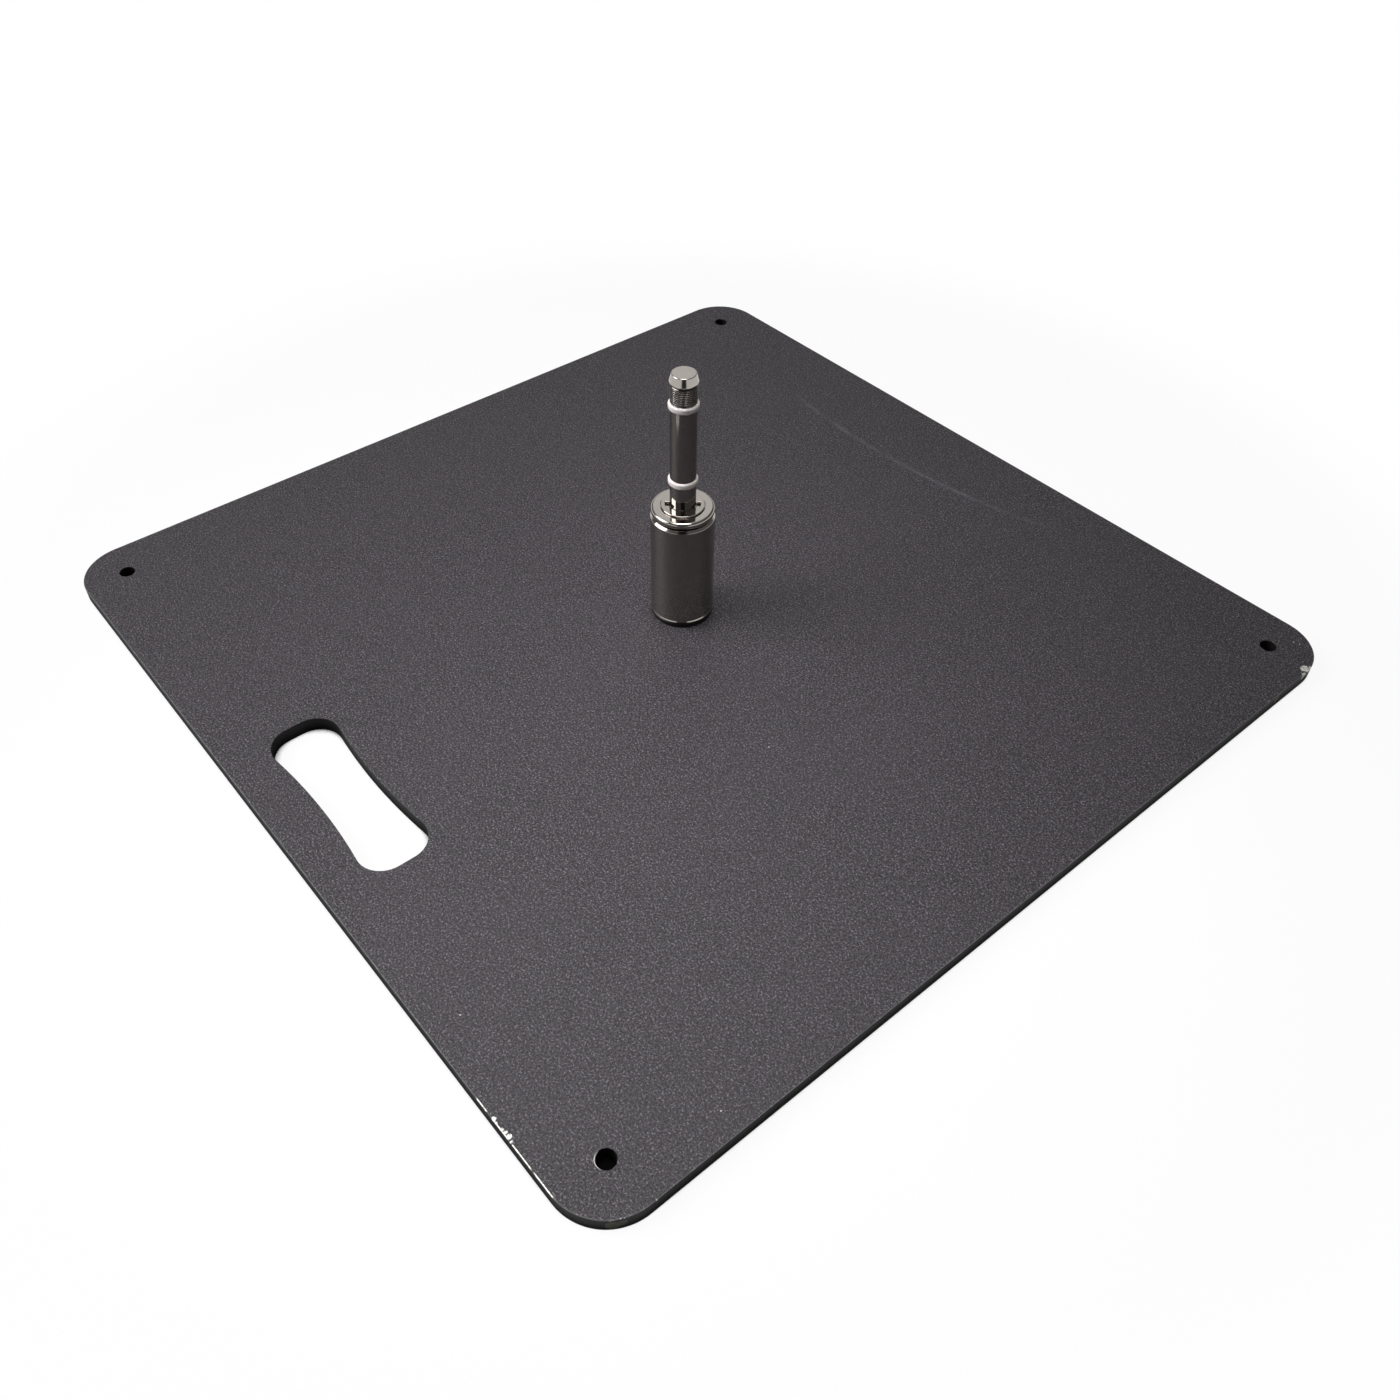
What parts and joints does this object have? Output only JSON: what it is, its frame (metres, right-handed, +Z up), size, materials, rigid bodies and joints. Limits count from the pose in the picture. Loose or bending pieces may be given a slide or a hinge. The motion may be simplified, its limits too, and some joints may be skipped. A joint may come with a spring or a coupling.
{
  "type": "weight plate with turning spigot",
  "caption": "Square steel weight plate with rounded corners, corner holes, a waisted carry slot and a chromed upright spigot whose spindle turns in ball bearings.",
  "frame": {"origin": "middle of the plate's underside", "axes": "+Z up along the spigot's axis, the carry slot beside the front edge towards -Y, +X to the right"},
  "size_m": [0.5, 0.5, 0.1557],
  "materials": {
    "powder_coat": "fine-texture powder coat, worn at the edges",
    "chrome": "bright chrome plating",
    "zinc_steel": "zinc plated",
    "bearing_steel": "ground and polished",
    "white_silicone": "smooth, slightly glossy",
    "cage_nylon": "moulded"
  },
  "bodies": {
    "base": {"base_plate": "powder_coat", "fixing_screw": "zinc_steel", "seat_washer": "chrome", "bearing_housing": "chrome", "bore_clip": "zinc_steel", "outer_spacer": "zinc_steel", "lower_outer_race": "bearing_steel", "lower_shield_bottom": "zinc_steel", "lower_shield_top": "zinc_steel", "upper_outer_race": "bearing_steel", "upper_shield_bottom": "zinc_steel", "upper_shield_top": "zinc_steel"},
    "spindle": {"spindle": "chrome", "turning_disc": "chrome", "disc_clip": "zinc_steel", "lower_white_band": "white_silicone", "upper_white_band": "white_silicone", "end_cap": "chrome", "shaft_clip": "zinc_steel", "inner_spacer": "zinc_steel", "lower_inner_race": "bearing_steel", "upper_inner_race": "bearing_steel"},
    "lower_cage": {"lower_cage": "cage_nylon", "lower_ball_1": "bearing_steel", "lower_ball_2": "bearing_steel", "lower_ball_3": "bearing_steel", "lower_ball_4": "bearing_steel", "lower_ball_5": "bearing_steel", "lower_ball_6": "bearing_steel", "lower_ball_7": "bearing_steel", "lower_ball_8": "bearing_steel"},
    "upper_cage": {"upper_cage": "cage_nylon", "upper_ball_1": "bearing_steel", "upper_ball_2": "bearing_steel", "upper_ball_3": "bearing_steel", "upper_ball_4": "bearing_steel", "upper_ball_5": "bearing_steel", "upper_ball_6": "bearing_steel", "upper_ball_7": "bearing_steel", "upper_ball_8": "bearing_steel"}
  },
  "joints": [
    {"name": "spindle_spin", "type": "hinge", "parent": "base", "child": "spindle", "pos_m": [0, 0, 0.0745], "axis": [0, 0, 1], "continuous": true},
    {"name": "lower_cage_spin", "type": "hinge", "parent": "base", "child": "lower_cage", "pos_m": [0, 0, 0.0402], "axis": [0, 0, 1], "continuous": true},
    {"name": "upper_cage_spin", "type": "hinge", "parent": "base", "child": "upper_cage", "pos_m": [0, 0, 0.0628], "axis": [0, 0, 1], "continuous": true}
  ],
  "couplings": [
    {"joint": "lower_cage_spin", "follows": "spindle_spin", "ratio": 0.381},
    {"joint": "upper_cage_spin", "follows": "spindle_spin", "ratio": 0.381}
  ]
}
